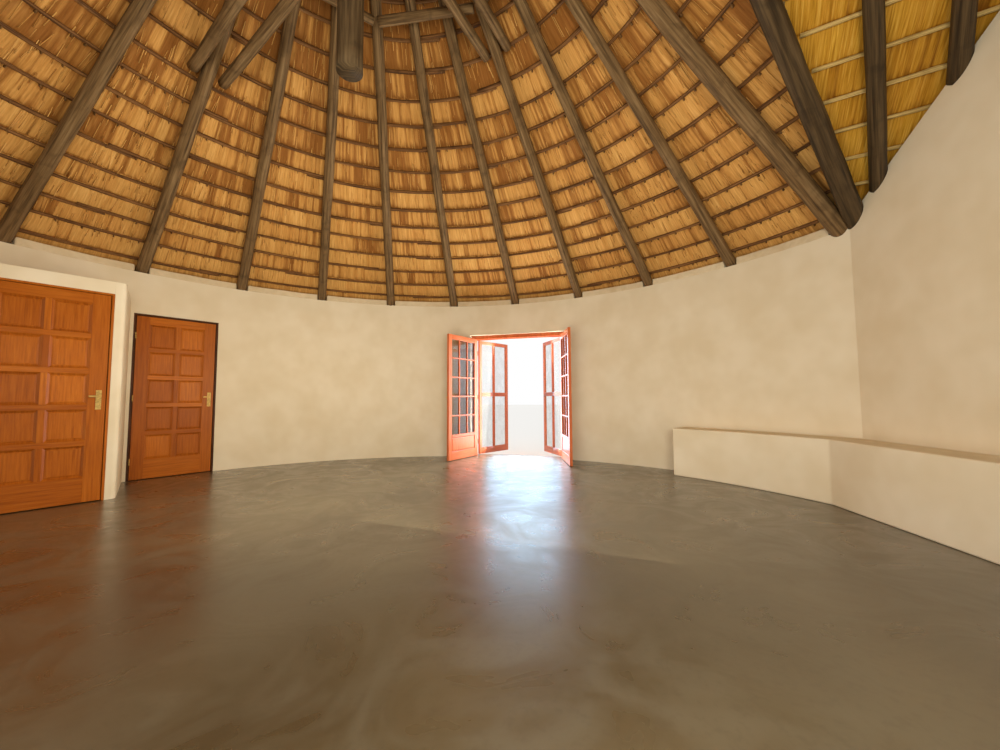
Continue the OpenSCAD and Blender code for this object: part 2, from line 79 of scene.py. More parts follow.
lathRadii = [hut["ringIn"] + 0.003 + hut["lathRun"] * (2 - i) for i in range(hut["lathRows"])]
valleyK = hut["ringIn"] * (1 + cos(radians(hut["gableHalf"] - hut["fallAngle"])))
valleyR = valleyK / (1 + fallX)


def under(r):  # height of the rafters' underside on the cone
    return hut["wallTop"] + hut["rise"] * (hut["ringIn"] - r)


def underGable(x, y):  # the same on the second slope, in the gable's own plan
    return hut["wallTop"] + hut["rise"] * (fallX * (x - gableX) + fallY * (y - gableY))


def valleyHalf(r):  # half the angle that the second slope takes out of the cone
    if r < valleyR:
        return 0
    return acos(valleyK / r - 1) - radians(360 - hut["fallAngle"])


def coneNormal(angle):  # pointing out of the roof
    return Vector((cos(angle) * sin(pitch), sin(angle) * sin(pitch), cos(pitch)))


def onCone(r, angle, lift):  # lift is measured square to the slope from the laths' seat
    z = under(r) + lathLift
    return Vector((r * cos(angle), r * sin(angle), z)) + coneNormal(angle) * lift


# Shader helpers

def tone(r, g, b):  # a colour as the eye reads it, from 0 to 255, as the shader wants it
    parts = [c / 255 for c in (r, g, b)]
    return [c / 12.92 if c < 0.04045 else ((c + 0.055) / 1.055) ** 2.4 for c in parts] + [1]


def addNode(tree, kind, **values):
    made = tree.nodes.new("ShaderNode" + kind)
    for key, value in values.items():
        if key in made.inputs:
            made.inputs[key].default_value = value
        else:
            setattr(made, key, value)
    return made


def wire(tree, *ends):  # pairs of output and input
    for i in range(0, len(ends), 2):
        tree.links.new(ends[i], ends[i + 1])


def newGroup(name, inputs, outputs):
    tree = bpy.data.node_groups.new(name, "ShaderNodeTree")
    for label, kind, value in inputs:
        socket = tree.interface.new_socket(name=label, in_out="INPUT", socket_type=kind)
        if value is not None:
            socket.default_value = value
    for label, kind in outputs:
        tree.interface.new_socket(name=label, in_out="OUTPUT", socket_type=kind)
    return tree, tree.nodes.new("NodeGroupInput"), tree.nodes.new("NodeGroupOutput")


def useGroup(tree, group, place, **values):  # the group's value over a map or a place
    made = tree.nodes.new("ShaderNodeGroup")
    made.node_tree = group
    for key, value in values.items():
        made.inputs[key].default_value = value
    wire(tree, place, made.inputs["Vector"])
    return made.outputs["Value"]


def placeOf(tree):
    return addNode(tree, "TexCoord").outputs["Object"]


def chartOf(tree):  # the piece's own map, in metres
    return addNode(tree, "UVMap", uv_map="strand").outputs["UV"]


def tintOf(tree):
    return addNode(tree, "Attribute", attribute_name="tint").outputs["Fac"]


def makeMottle():  # soft patches of one value between 0 and 1
    number = "NodeSocketFloat"
    tree, start, end = newGroup(
        "mottle",
        [("Vector", "NodeSocketVector", None), ("Scale", number, 2), ("Detail", number, 2),
         ("Warp", number, 0.0), ("Low", number, 0.35), ("High", number, 0.65)],
        [("Value", number)])
    cloud = addNode(tree, "TexNoise", Roughness=0.6)
    spread = addNode(tree, "MapRange", interpolation_type="SMOOTHSTEP")
    wire(tree, start.outputs["Vector"], cloud.inputs["Vector"],
         start.outputs["Scale"], cloud.inputs["Scale"],
         start.outputs["Detail"], cloud.inputs["Detail"],
         start.outputs["Warp"], cloud.inputs["Distortion"],
         cloud.outputs["Fac"], spread.inputs["Value"],
         start.outputs["Low"], spread.inputs["From Min"],
         start.outputs["High"], spread.inputs["From Max"],
         spread.outputs["Result"], end.inputs["Value"])
    return tree


def makeStrands():  # long fibres that run up the V of a map in metres
    number = "NodeSocketFloat"
    tree, start, end = newGroup(
        "strands",
        [("Vector", "NodeSocketVector", None), ("Across", number, 120), ("Along", number, 4),
         ("Detail", number, 3), ("Low", number, 0.3), ("High", number, 0.7)],
        [("Value", number)])
    stretch = addNode(tree, "CombineXYZ")
    scaled = addNode(tree, "VectorMath", operation="MULTIPLY")
    wide = addNode(tree, "TexNoise", Scale=1.0, Roughness=0.7)
    spread = addNode(tree, "MapRange")
    wire(tree, start.outputs["Across"], stretch.inputs["X"], start.outputs["Along"], stretch.inputs["Y"],
         start.outputs["Vector"], scaled.inputs[0], stretch.outputs["Vector"], scaled.inputs[1],
         scaled.outputs["Vector"], wide.inputs["Vector"], start.outputs["Detail"], wide.inputs["Detail"],
         wide.outputs["Fac"], spread.inputs["Value"],
         start.outputs["Low"], spread.inputs["From Min"], start.outputs["High"], spread.inputs["From Max"],
         spread.outputs["Result"], end.inputs["Value"])
    return tree


mottle = makeMottle()
strands = makeStrands()


def newMaterial(name, roughness=0.6, coat=0.0, coatRoughness=0.1, specular=0.5):
    made = bpy.data.materials.new(name)
    made.use_nodes = True
    shader = made.node_tree.nodes["Principled BSDF"]
    shader.inputs["Roughness"].default_value = roughness
    shader.inputs["Coat Weight"].default_value = coat
    shader.inputs["Coat Roughness"].default_value = coatRoughness
    shader.inputs["Specular IOR Level"].default_value = specular
    return made, made.node_tree, shader


def ramp(tree, value, *stops):  # stops are (place, colour)
    made = addNode(tree, "ValToRGB")
    band = made.color_ramp
    while len(band.elements) < len(stops):
        band.elements.new(0.5)
    for element, (place, colour) in zip(band.elements, stops):
        element.position = place
        element.color = tone(*colour)
    wire(tree, value, made.inputs["Fac"])
    return made.outputs["Color"]


def mixed(tree, first, second, amount, blendType="MIX"):
    made = addNode(tree, "Mix", data_type="RGBA", blend_type=blendType)
    for socket, value in ((made.inputs[6], first), (made.inputs[7], second), (made.inputs[0], amount)):
        if isinstance(value, bpy.types.NodeSocket):
            wire(tree, value, socket)
        else:
            socket.default_value = value
    return made.outputs[2]


def reach(tree, value, low, high):  # a value from 0 to 1 spread between low and high
    made = addNode(tree, "MapRange")
    made.inputs["To Min"].default_value = low
    made.inputs["To Max"].default_value = high
    wire(tree, value, made.inputs["Value"])
    return made.outputs["Result"]


def bumped(tree, shader, height, strength, distance):
    made = addNode(tree, "Bump", Strength=strength, Distance=distance)
    wire(tree, height, made.inputs["Height"], made.outputs["Normal"], shader.inputs["Normal"])


def makePlaster(name, base, stain, trowel):  # trowel is the strokes' scale, strength and depth
    made, tree, shader = newMaterial(name, specular=0.3)
    place, (scale, strength, depth) = placeOf(tree), trowel
    patches = useGroup(tree, mottle, place, Scale=0.7, Low=0.25, High=0.8)
    strokes = useGroup(tree, mottle, place, Scale=scale, Low=0.2, High=0.8)
    colour = mixed(tree, base, stain, patches)
    spots = mixed(tree, tone(255, 255, 255), tone(244, 240, 232), strokes)
    wire(tree, mixed(tree, colour, spots, 1.0, "MULTIPLY"), shader.inputs["Base Color"],
         reach(tree, strokes, 0.74, 0.9), shader.inputs["Roughness"])
    bumped(tree, shader, strokes, strength, depth)
    return made


def makeScreed(name):
    made, tree, shader = newMaterial(name, coat=0.7, coatRoughness=0.27)
    place = placeOf(tree)
    broad = useGroup(tree, mottle, place, Scale=0.5, Low=0.3, High=0.7)
    swirl = useGroup(tree, mottle, place, Scale=1.9, Detail=3, Warp=2.0, Low=0.3, High=0.75)
    speck = useGroup(tree, mottle, place, Scale=30, Low=0.45, High=0.8)
    ground = ramp(tree, broad, (0.0, (62, 51, 34)), (0.5, (76, 64, 43)), (1.0, (92, 80, 57)))
    worn = mixed(tree, ground, tone(116, 108, 88), reach(tree, swirl, 0, 0.35))
    dusty = mixed(tree, worn, tone(58, 46, 32), reach(tree, speck, 0, 0.2))
    wire(tree, dusty, shader.inputs["Base Color"],
         reach(tree, swirl, 0.25, 0.5), shader.inputs["Roughness"])
    bumped(tree, shader, swirl, 0.16, 0.004)
    return made


def makeReed(name, colours, streak):
    made, tree, shader = newMaterial(name, roughness=0.62, specular=0.3)
    stalks = useGroup(tree, strands, chartOf(tree), Across=70, Along=2.6, Low=0.25, High=0.75)
    body = ramp(tree, stalks, *colours)
    # the tint gives each bundle its own tone, and on the underside it also carries painted shade towards the
    # peak and beside the laths
    darker = ramp(tree, tintOf(tree), (0.0, (156, 122, 88)), (0.3, (232, 216, 194)), (1.0, (255, 252, 244)))
    wire(tree, mixed(tree, body, darker, streak, "MULTIPLY"), shader.inputs["Base Color"])
    bumped(tree, shader, stalks, 0.5, 0.003)
    return made


def makeReedEnds(name):  # the cut ends of the reed at the eaves
    made, tree, shader = newMaterial(name, roughness=0.8)
    chart = chartOf(tree)
    dots = addNode(tree, "TexVoronoi", Scale=130)
    wire(tree, chart, dots.inputs["Vector"])
    # the dark between the stalk ends is painted shade in the gaps between them
    body = ramp(tree, dots.outputs["Distance"], (0.0, (150, 122, 82)), (0.4, (112, 86, 54)),
                (0.75, (44, 32, 20)))
    bands = reach(tree, useGroup(tree, mottle, chart, Scale=9), 0, 0.5)
    wire(tree, mixed(tree, body, tone(84, 66, 44), bands), shader.inputs["Base Color"])
    bumped(tree, shader, reach(tree, dots.outputs["Distance"], 1, 0), 0.6, 0.004)
    return made


def makePoleWood(name, pale, mid, dark, bark=0.5):
    made, tree, shader = newMaterial(name, specular=0.4)
    grain = useGroup(tree, strands, chartOf(tree), Across=40, Along=1.3, Low=0.25, High=0.75)
    scars = useGroup(tree, mottle, placeOf(tree), Scale=5, Detail=3, Warp=0.6, Low=0.5, High=0.72)
    body = ramp(tree, grain, (0.0, (34, 26, 18)), (0.14, dark), (0.5, mid), (1.0, pale))
    wire(tree, mixed(tree, body, tone(*dark), reach(tree, scars, 0, bark)), shader.inputs["Base Color"])
    bumped(tree, shader, grain, 0.6, 0.003)
    return made


def makeJoinery(name, pale, mid, dark, coat):
    made, tree, shader = newMaterial(name, coat=coat, coatRoughness=0.16)
    grain = useGroup(tree, strands, chartOf(tree), Across=55, Along=2.2, Detail=4, Low=0.22, High=0.78)
    body = ramp(tree, grain, (0.0, dark), (0.5, mid), (1.0, pale))
    # the tint gives each board its own tone, and painted shade in the mouldings and grooves of sunk panels
    board = ramp(tree, tintOf(tree), (0.0, (96, 74, 58)), (0.3, (206, 190, 176)), (1.0, (255, 255, 255)))
    wire(tree, mixed(tree, body, board, 1.0, "MULTIPLY"), shader.inputs["Base Color"],
         reach(tree, grain, 0.3, 0.46), shader.inputs["Roughness"])
    bumped(tree, shader, grain, 0.12, 0.001)
    return made


def makeMetal(name, colour, roughness, metallic):
    made, tree, shader = newMaterial(name)
    shader.inputs["Metallic"].default_value = metallic
    rubbed = useGroup(tree, mottle, placeOf(tree), Scale=60, Detail=3)
    wire(tree, mixed(tree, colour, [c * 0.7 for c in colour[:3]] + [1], rubbed),
         shader.inputs["Base Color"],
         reach(tree, rubbed, roughness, roughness + 0.2), shader.inputs["Roughness"])
    return made


def makeGlass(name):
    made, tree, shader = newMaterial(name)
    shader.inputs["Transmission Weight"].default_value = 1
    shader.inputs["IOR"].default_value = 1.45
    dust = useGroup(tree, mottle, placeOf(tree), Scale=7, Low=0.45, High=0.9)
    wire(tree, mixed(tree, tone(246, 252, 250), tone(226, 232, 226), dust), shader.inputs["Base Color"],
         reach(tree, dust, 0.01, 0.06), shader.inputs["Roughness"])
    return made


def makeFlyMesh(name):
    made, tree, shader = newMaterial(name)
    dust = useGroup(tree, mottle, placeOf(tree), Scale=5)
    wire(tree, mixed(tree, tone(88, 90, 88), tone(128, 126, 116), dust), shader.inputs["Base Color"],
         reach(tree, dust, 0.1, 0.16), shader.inputs["Alpha"])
    return made


finish = {}
for name, make, values in (
        ("plaster", makePlaster, (tone(229, 215, 187), tone(223, 208, 178), (2.6, 0.25, 0.012))),
        ("filling", makePlaster, (tone(222, 204, 170), tone(200, 178, 142), (9, 0.7, 0.012))),
        ("mortar", makePlaster, (tone(172, 160, 140), tone(128, 118, 100), (9, 0.9, 0.015))),
        ("screed", makeScreed, ()),
        ("reed", makeReed, (((0.0, (172, 125, 66)), (0.35, (200, 151, 83)), (0.6, (215, 166, 96)),
                             (1.0, (232, 187, 118))), 0.9)),
        # a paler, more yellow copy of the reed, with painted light, for the second slope
        ("goldReed", makeReed, (((0.0, (134, 94, 26)), (0.35, (178, 130, 38)), (0.6, (200, 152, 56)),
                                 (1.0, (226, 184, 92))), 0.9)),
        ("thatchCoat", makeReed, (((0.0, (94, 78, 58)), (0.5, (152, 132, 102)),
                                   (1.0, (198, 180, 148))), 0.8)),
        ("reedEnds", makeReedEnds, ()),
        ("pole", makePoleWood, ((150, 122, 84), (112, 86, 54), (62, 45, 28))),
        ("darkPole", makePoleWood, ((104, 84, 56), (72, 56, 36), (40, 30, 19))),
        ("lath", makePoleWood, ((152, 108, 64), (110, 74, 42), (68, 44, 26), 0.6)),
        # a paler copy of the lath wood, with painted light, for the gable's laths
        ("paleLath", makePoleWood, ((228, 202, 142), (198, 166, 100), (128, 100, 52))),
        ("twine", makeMetal, (tone(122, 88, 52), 0.7, 0)),
        ("doorWood", makeJoinery, ((208, 126, 44), (184, 101, 25), (142, 70, 13), 0.35)),
        ("frameWood", makeJoinery, ((226, 134, 84), (204, 106, 58), (156, 70, 32), 0.4)),
        ("darkWood", makeJoinery, ((98, 56, 32), (72, 38, 20), (44, 22, 12), 0.3)),
        ("brass", makeMetal, (tone(246, 212, 130), 0.3, 0.6)),
        ("glass", makeGlass, ()),
        ("flyMesh", makeFlyMesh, ())):
    finish[name] = make(name, *values)
stage("materials made")


# Mesh helpers

def newObject(name, data):
    made = bpy.data.objects.new(name, data)
    bpy.context.scene.collection.objects.link(made)
    return made


def placePiece(name, mesh, materials, body, stands):
    for material in [materials] if isinstance(materials, str) else materials:
        mesh.materials.append(finish[material])
    made = newObject(name, mesh)
    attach(made, body)
    if stands:
        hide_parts(*stands)
    return made


def newPiece(name, bm, materials, body="hut", stands=(), smooth=True, closed=True):
    if closed:
        bmesh.ops.recalc_face_normals(bm, faces=bm.faces)
    for face in bm.faces:
        face.smooth = smooth
    mesh = bpy.data.meshes.new(name)
    bm.to_mesh(mesh)
    bm.free()
    return placePiece(name, mesh, materials, body, stands)


mergeGap = 0.00005  # between corners that are one, in the solids
sharpTurn = radians(25)  # an edge that turns more is softened


def copyOf(nodeName, limit=0.5):  # a CAD node's surface with its loose triangles joined
    bm = bmesh.new()
    bm.from_mesh(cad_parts[nodeName].data)
    bmesh.ops.remove_doubles(bm, verts=bm.verts, dist=mergeGap)
    bmesh.ops.dissolve_limit(bm, angle_limit=radians(limit), verts=bm.verts, edges=bm.edges)
    bm.normal_update()
    return bm


def unique(items):  # each once, in the order of the mesh, so that every run is the same
    return list(dict.fromkeys(items))


def withEdges(faces):  # the faces with their edges and corners, as the cutting operator takes them
    return faces + unique(e for f in faces for e in f.edges) + unique(v for f in faces for v in f.verts)


def bevelled(bm, edges, width, segments=1):
    bmesh.ops.bevel(bm, geom=edges, offset=width, offset_type="OFFSET", segments=segments, profile=0.5,
                    affect="EDGES", clamp_overlap=True, material=-1)


def islands(bm):
    seen, found = set(), []
    for vert in bm.verts:
        if vert in seen:
            continue
        seen.add(vert)
        group, queue = [], [vert]
        while queue:
            here = queue.pop()
            group.append(here)
            for edge in here.link_edges:
                other = edge.other_vert(here)
                if other not in seen:
                    seen.add(other)
                    queue.append(other)
        found.append(group)
    return found


def arrayMesh(name, points, corners, sizes, chart, tint, domain):
    mesh = bpy.data.meshes.new(name)
    mesh.vertices.add(len(points))
    mesh.vertices.foreach_set("co", points.astype(np.float32).ravel())
    mesh.loops.add(len(corners))
    mesh.loops.foreach_set("vertex_index", corners.astype(np.int32))
    mesh.polygons.add(len(sizes))
    mesh.polygons.foreach_set("loop_start", np.concatenate([[0], np.cumsum(sizes)[:-1]]).astype(np.int32))
    mesh.update(calc_edges=True)
    mesh.uv_layers.new(name="strand").data.foreach_set("uv", chart.astype(np.float32).ravel())
    mesh.attributes.new("tint", "FLOAT", domain).data.foreach_set("value", tint.astype(np.float32))
    mesh.shade_smooth()
    return mesh


def pin(bm, sides, radius, length, place=Matrix()):
    bmesh.ops.create_cone(bm, cap_ends=True, segments=sides, radius1=radius, radius2=radius, depth=length,
                          matrix=place)


def copies(name, template, places, tints, material):  # many small copies as one mesh
    source = bpy.data.meshes.new(name + "Template")
    template.to_mesh(source)
    template.free()
    places = np.array(places)
    count, perVert = len(places), len(source.vertices)
    points = np.ones((perVert, 4))
    points[:, :3] = np.array([v.co for v in source.vertices])
    placed = np.einsum("nij,vj->nvi", places[:, :3, :], points).reshape(-1, 3)
    corners = np.array([loop.vertex_index for loop in source.loops])
    sizes = np.array([face.loop_total for face in source.polygons])
    lengths = np.linalg.norm(places[:, :3, 1], axis=1)
    widths = np.linalg.norm(places[:, :3, 0], axis=1)
    chart = np.empty((count, len(corners), 2))
    chart[:, :, 0] = points[corners, 0] * widths[:, None] + np.arange(count)[:, None] * 0.37
    chart[:, :, 1] = points[corners, 1] * lengths[:, None] + np.arange(count)[:, None] * 0.11
    mesh = arrayMesh(name, placed, (corners[None, :] + np.arange(count)[:, None] * perVert).ravel(),
                     np.tile(sizes, count), chart.reshape(-1, 2), np.repeat(tints, len(sizes)), "FACE")
    bpy.data.meshes.remove(source)
    return placePiece(name, mesh, material, "hut", ())


def sheets(name, patches):  # patches are (points, chart, tint) on grids, wound so that they face down
    points, charts, tints, quads, total = [], [], [], [], 0
    for place, chart, tint in patches:
        rows, columns = place.shape[:2]
        index = np.arange(rows * columns).reshape(rows, columns) + total
        quads.append(np.stack([index[:-1, :-1], index[1:, :-1], index[1:, 1:], index[:-1, 1:]], -1))
        points.append(place.reshape(-1, 3))
        charts.append(chart.reshape(-1, 2))
        tints.append(tint.ravel())
        total += rows * columns
    corners = np.concatenate([q.ravel() for q in quads])
    return arrayMesh(name, np.concatenate(points), corners, np.full(len(corners) // 4, 4),
                     np.concatenate(charts)[corners], np.concatenate(tints), "POINT")


# Poles with sway, knots and grain

poleLook = {"ring": 0.1, "sway": 0.013, "lump": 0.06, "knots": 1.6, "knotRise": 0.007,
            "knotLong": 0.03, "knotWide": 0.025, "swayWaves": 0.8, "lumpWaves": 3}


def cutRings(bm, faces, start, axis, length):
    steps = max(2, int(length / poleLook["ring"]))
    done = []
    for step in range(1, steps):
        here = start + axis * (length * step / steps)
        cut = bmesh.ops.bisect_plane(bm, geom=withEdges(faces), dist=0.0001, plane_co=here, plane_no=axis)
        faces = []
        for item in cut["geom"]:
            if isinstance(item, bmesh.types.BMFace):
                ahead = (item.calc_center_median() - here).dot(axis) > 0
                (faces if ahead else done).append(item)
    return done + faces


def roughPoles(name, nodeName, material, sway=1.0, lump=1.0, seed=1):
    bm = copyOf(nodeName)
    chart = bm.loops.layers.uv.new("strand")
    dice = random.Random(seed)
    for number, group in enumerate(islands(bm)):
        points = np.array([v.co for v in group])
        centre = points.mean(0)
        axis = np.linalg.svd(points - centre)[2][0]
        axis = Vector(axis if axis[2] > 0 or abs(axis[2]) < 0.05 and axis[0] > 0 else -axis)
        centre = Vector(centre)
        along = [(v.co - centre).dot(axis) for v in group]
        low, high = min(along), max(along)
        side = axis.orthogonal().normalized()
        other = axis.cross(side)
        faces = unique(f for v in group for f in v.link_faces)
        faces = cutRings(bm, faces, centre + axis * low, axis, high - low)
        shift = Vector((dice.uniform(0, 90), dice.uniform(0, 90), number * 7.3))
        knots = [(dice.uniform(low + 0.1, high - 0.1), dice.uniform(-pi, pi))
                 for i in range(int((high - low) * poleLook["knots"] * lump))]
        for vert in unique(v for f in faces for v in f.verts):
            offset = vert.co - centre
            place = offset.dot(axis)
            spoke = offset - axis * place
            radius = spoke.length
            if radius < 1e-4:
                continue
            turn = atan2(spoke.dot(other), spoke.dot(side))
            ends = min(1, (place - low) / 0.6, (high - place) / 0.3)
            wave = Vector((place * poleLook["swayWaves"], 0, 0))
            bend = noise.noise_vector(shift + wave) * poleLook["sway"] * sway * ends
            swell = 1 + poleLook["lump"] * lump * noise.noise(
                shift + Vector((place * poleLook["lumpWaves"], cos(turn) * 0.8, sin(turn) * 0.8)))
            rise = sum(poleLook["knotRise"] * exp(
                -((place - k) / poleLook["knotLong"]) ** 2
                - (remainder(turn - a, tau) * radius / poleLook["knotWide"]) ** 2)
                for k, a in knots if abs(place - k) < 0.1)
            vert.co = centre + axis * place + spoke * swell + spoke.normalized() * rise + bend
        for face in faces:
            middle = face.calc_center_median() - centre
            turn = atan2(middle.dot(other), middle.dot(side))
            for loop in face.loops:
                offset = loop.vert.co - centre
                here = atan2(offset.dot(other), offset.dot(side))
                here = turn + remainder(here - turn, tau)
                loop[chart].uv = (here * 0.06 + number * 1.7, offset.dot(axis))
    made = newPiece(name, bm, material, stands=(nodeName,))
    print(name, len(made.data.polygons), "faces")
    return made


for name, nodeName, material, sway in (
        ("mainRafters", "main_rafters", "pole", 1), ("shortRafters", "short_rafters", "pole", 1),
        ("jackRafters", "jack_rafters", "darkPole", 0.5), ("valleyPoles", "valley_poles", "darkPole", 0.5),
        ("gableRafters", "gable_rafters", "darkPole", 0.5), ("ridgePole", "ridge_pole", "darkPole", 0.5),
        ("kingPost", "king_post", "darkPole", 0.2), ("tiePoles", "tie_poles", "pole", 0.8),
        ("collarPoles", "collar_poles", "pole", 0.2)):
    roughPoles(name, nodeName, material, sway=sway, seed=len(name))
# the gable's laths take the paler lath copy with painted light
roughPoles("gableLathRows", "gable_laths", "paleLath", 0.4, 0.5, seed=5)
stage("poles made")


# Laths of split saplings, and the tarred twine that sews the thatch to them

lathLook = {"sides": 7, "step": 0.12, "longest": 3.6, "overlap": 0.22, "wobble": 0.008, "thick": 0.0172,
            "twineGap": 0.17, "twineRadius": 0.0186, "twineWide": 0.005, "shortest": 2.6, "aside": 0.012,
            "clear": 0.03}


def lathPiece(bm, chart, row, r, first, last, aside, thick):
    sides = lathLook["sides"]
    steps = max(3, int((last - first) * r / lathLook["step"]))
    seat = Matrix.Translation((r, 0, under(r) + lathLift + hut["lath"] / 2 * steep))
    ring = bmesh.ops.create_circle(
        bm, cap_ends=True, radius=thick, segments=sides,
        matrix=Matrix.Rotation(first, 4, "Z") @ seat @ Matrix.Rotation(pi / 2, 4, "X"))["verts"]
    start = ring[0].link_faces[0]
    total = len(bm.verts)
    bmesh.ops.spin(bm, geom=[start, *start.edges, *ring], cent=(0, 0, 0), axis=(0, 0, 1),
                   angle=last - first, steps=steps, use_duplicate=False)
    bm.verts.ensure_lookup_table()
    fresh = bm.verts[total - sides:]
    for vert in fresh:
        angle = atan2(vert.co.y, vert.co.x)
        spot = Vector((cos(angle) * r, sin(angle) * r, row * 5))
        flow = noise.noise(spot * 1.3)
        swell = 1 + 0.25 * noise.noise(spot * 4)
        seatPoint = onCone(r, angle, hut["lath"] / 2 - 0.002)
        slopeWay = coneNormal(angle).cross(Vector((-sin(angle), cos(angle), 0)))
        vert.co = seatPoint + (vert.co - seatPoint) * swell + slopeWay * (flow * lathLook["wobble"] + aside)
    for face in unique(f for v in fresh for f in v.link_faces):
        middle = face.calc_center_median()
        turn = atan2(middle.y, middle.x)
        for loop in face.loops:
            here = atan2(loop.vert.co.y, loop.vert.co.x)
            spin = remainder(here - turn, tau) + turn
            loop[chart].uv = (loop.vert.co.z * 2 + row, spin * r)


def makeLaths():
    bm = bmesh.new()
    chart = bm.loops.layers.uv.new("strand")
    dice = random.Random(11)
    stitches = []
    for row, r in enumerate(lathRadii):
        stop = valleyHalf(r) + (asin(lathLook["clear"] / r) if r > valleyR else 0)
        start = radians(hut["gableAngle"]) + stop
        whole = tau - 2 * stop
        count = max(1, round(whole * r / dice.uniform(lathLook["shortest"], lathLook["longest"])))
        spare = lathLook["overlap"] / r / 2 if count > 1 else 0
        for number in range(count):
            first = start + whole * number / count - (spare if number or not stop else 0)
            last = start + whole * (number + 1) / count + (spare if number < count - 1 or not stop else 0)
            aside = (-1) ** number * lathLook["aside"] if count > 1 else 0
            lathPiece(bm, chart, row, r, first, last, aside, lathLook["thick"] * dice.uniform(0.85, 1.1))
        stitchCount = int(whole * r / lathLook["twineGap"])
        for number in range(stitchCount):
            angle = start + whole * (number + dice.uniform(0.2, 0.8)) / stitchCount
            turned = Matrix.Rotation(angle, 4, "Z") @ Matrix.Rotation(-pitch, 4, "Y") @ Matrix.Rotation(
                pi / 2 + dice.uniform(-0.3, 0.3), 4, "X")
            size = Matrix.Diagonal((dice.uniform(1.0, 1.12), 1, dice.uniform(0.7, 1.6), 1))
            stitches.append(Matrix.Translation(onCone(r, angle, hut["lath"] / 2 - 0.002)) @ turned @ size)
    bmesh.ops.holes_fill(bm, edges=[e for e in bm.edges if e.is_boundary], sides=lathLook["sides"])
    newPiece("lathRows", bm, "lath", stands=("laths",))
    twist = bmesh.new()
    pin(twist, 8, lathLook["twineRadius"], lathLook["twineWide"])
    copies("twine", twist, stitches, np.full(len(stitches), 0.5), "twine")
    print(len(stitches), "stitches")


makeLaths()
stage("laths made")


# Underside of the thatch: bundles of reed between the rows of laths

# reedLook holds two values of painted shade in the reed's tint: one darkens it towards the peak, the other
# beside the laths.
reedLook = {"cell": 0.0195, "press": 0.003, "sag": 0.012, "share": (0, 0.09, 0.3, 0.7, 0.91, 1),
            "lathShade": (0.62, 0.14, 0, 0, 0.14, 0.62), "peakShade": 0.9, "straws": 6500, "strawsFrom": 0.5,
            "strawsTo": 4.46, "peak": 0.18, "gableRows": 16, "gableWide": 4.2, "gableFirst": -2.5}
bundleShare = np.array(reedLook["share"])[:, None]
# painted shade: darkens the reed's tint at each bundle's ends, beside the laths
bundleLathShade = np.array(reedLook["lathShade"])[:, None]


def bundleDrop(hang):  # how far the reed hangs below the thatch's seat
    return reedLook["press"] + reedLook["sag"] * np.sin(np.pi * bundleShare) * hang[None, :]


def cutPlane(bm, geometry, point, normal, clearOuter=False):
    bmesh.ops.bisect_plane(bm, geom=geometry, dist=0.00001, plane_co=point, plane_no=normal,
                           clear_outer=clearOuter)


def bundleRow(dice, columns):  # for each column edge: how far its bundle hangs, and its tint
    hang, tint = np.empty(columns + 1), np.empty(columns + 1)
    place = 0
    course = dice.uniform(0.35, 0.8)
    while place <= columns:
        width = int(dice.integers(3, 8))
        stop = min(columns + 1, place + width)
        phase = (np.arange(place, stop) - place) / width
        hang[place:stop] = (0.3 + 0.7 * np.sin(np.pi * phase)) * dice.uniform(0.4, 1.2)
        tint[place:stop] = course + dice.normal(0, 0.16) + dice.normal(0, 0.14, stop - place)
        place = stop
    hang[-1], tint[-1] = hang[0], tint[0]
    return hang, np.clip(tint, 0, 1)


def gablePlane(side, lift):  # a point on the second slope's plane, and the normal out of the roof
    point = gableTurn @ Vector((gableX, gableY * side, hut["wallTop"] + lift))
    normal = gableTurn.to_3x3() @ Vector((-fallX * hut["rise"], -fallY * hut["rise"] * side, 1))
    return point, normal.normalized()


def makeUnderside():
    dice = np.random.default_rng(3)
    edges = [hut["eaves"]] + lathRadii + [reedLook["peak"]]
    patches = []
    for row in range(len(edges) - 1):
        outer, inner = edges[row], edges[row + 1]
        middle = (outer + inner) / 2
        columns = max(24, round(tau * middle / reedLook["cell"]))
        angle = np.linspace(0, tau, columns + 1)[None, :] + row
        hang, tint = bundleRow(dice, columns)
        # painted shade: the reed's tint is lowered towards the peak
        tint -= reedLook["peakShade"] * max(0, 1 - middle / 3.9)
        r = outer + (inner - outer) * bundleShare
        drop = bundleDrop(hang)
        reach = r - sin(pitch) * drop
        height = hut["wallTop"] + hut["rise"] * (hut["ringIn"] - r) + thatchLift - cos(pitch) * drop
        place = np.stack([reach * np.cos(angle), reach * np.sin(angle), height], -1)
        chart = np.stack(np.broadcast_arrays((angle - row) * middle + row * 3.7,
                                             (outer - r) * steep + row * 0.61), -1)
        # painted shade beside the laths, a little uneven
        ends = bundleLathShade + 0.1 * dice.random((len(bundleShare), columns + 1))
        patches.append((place, chart, np.clip(tint[None, :] - ends, 0, 1)))
    bm = bmesh.new()
    bm.from_mesh(sheets("reedUnderside", patches))
    planes = [gablePlane(side, thatchLift) for side in (1, -1)]
    outward = gableTurn.to_3x3() @ Vector((1, 0, 0))
    for point, normal in planes:
        near = [f for f in bm.faces if f.verts[0].co.dot(outward) > 1.0]
        cutPlane(bm, withEdges(near), point, normal)
    gone = []
    for face in bm.faces:
        if face.verts[0].co.dot(outward) > 0.9:
            spot = face.calc_center_median()
            if spot.dot(outward) > 1.0 and all((spot - p).dot(n) < 0 for p, n in planes):
                gone.append(face)
    bmesh.ops.delete(bm, geom=gone, context="FACES")
    newPiece("reedUnderside", bm, "reed", closed=False)


def onGable(s, t, lift):  # s runs up the second slope and t across it, from the wall's corner
    x = gableX + fallX * s - fallY * t
    y = gableY + fallY * s + fallX * t
    return np.stack([x, y, underGable(x, y) + lift], -1)


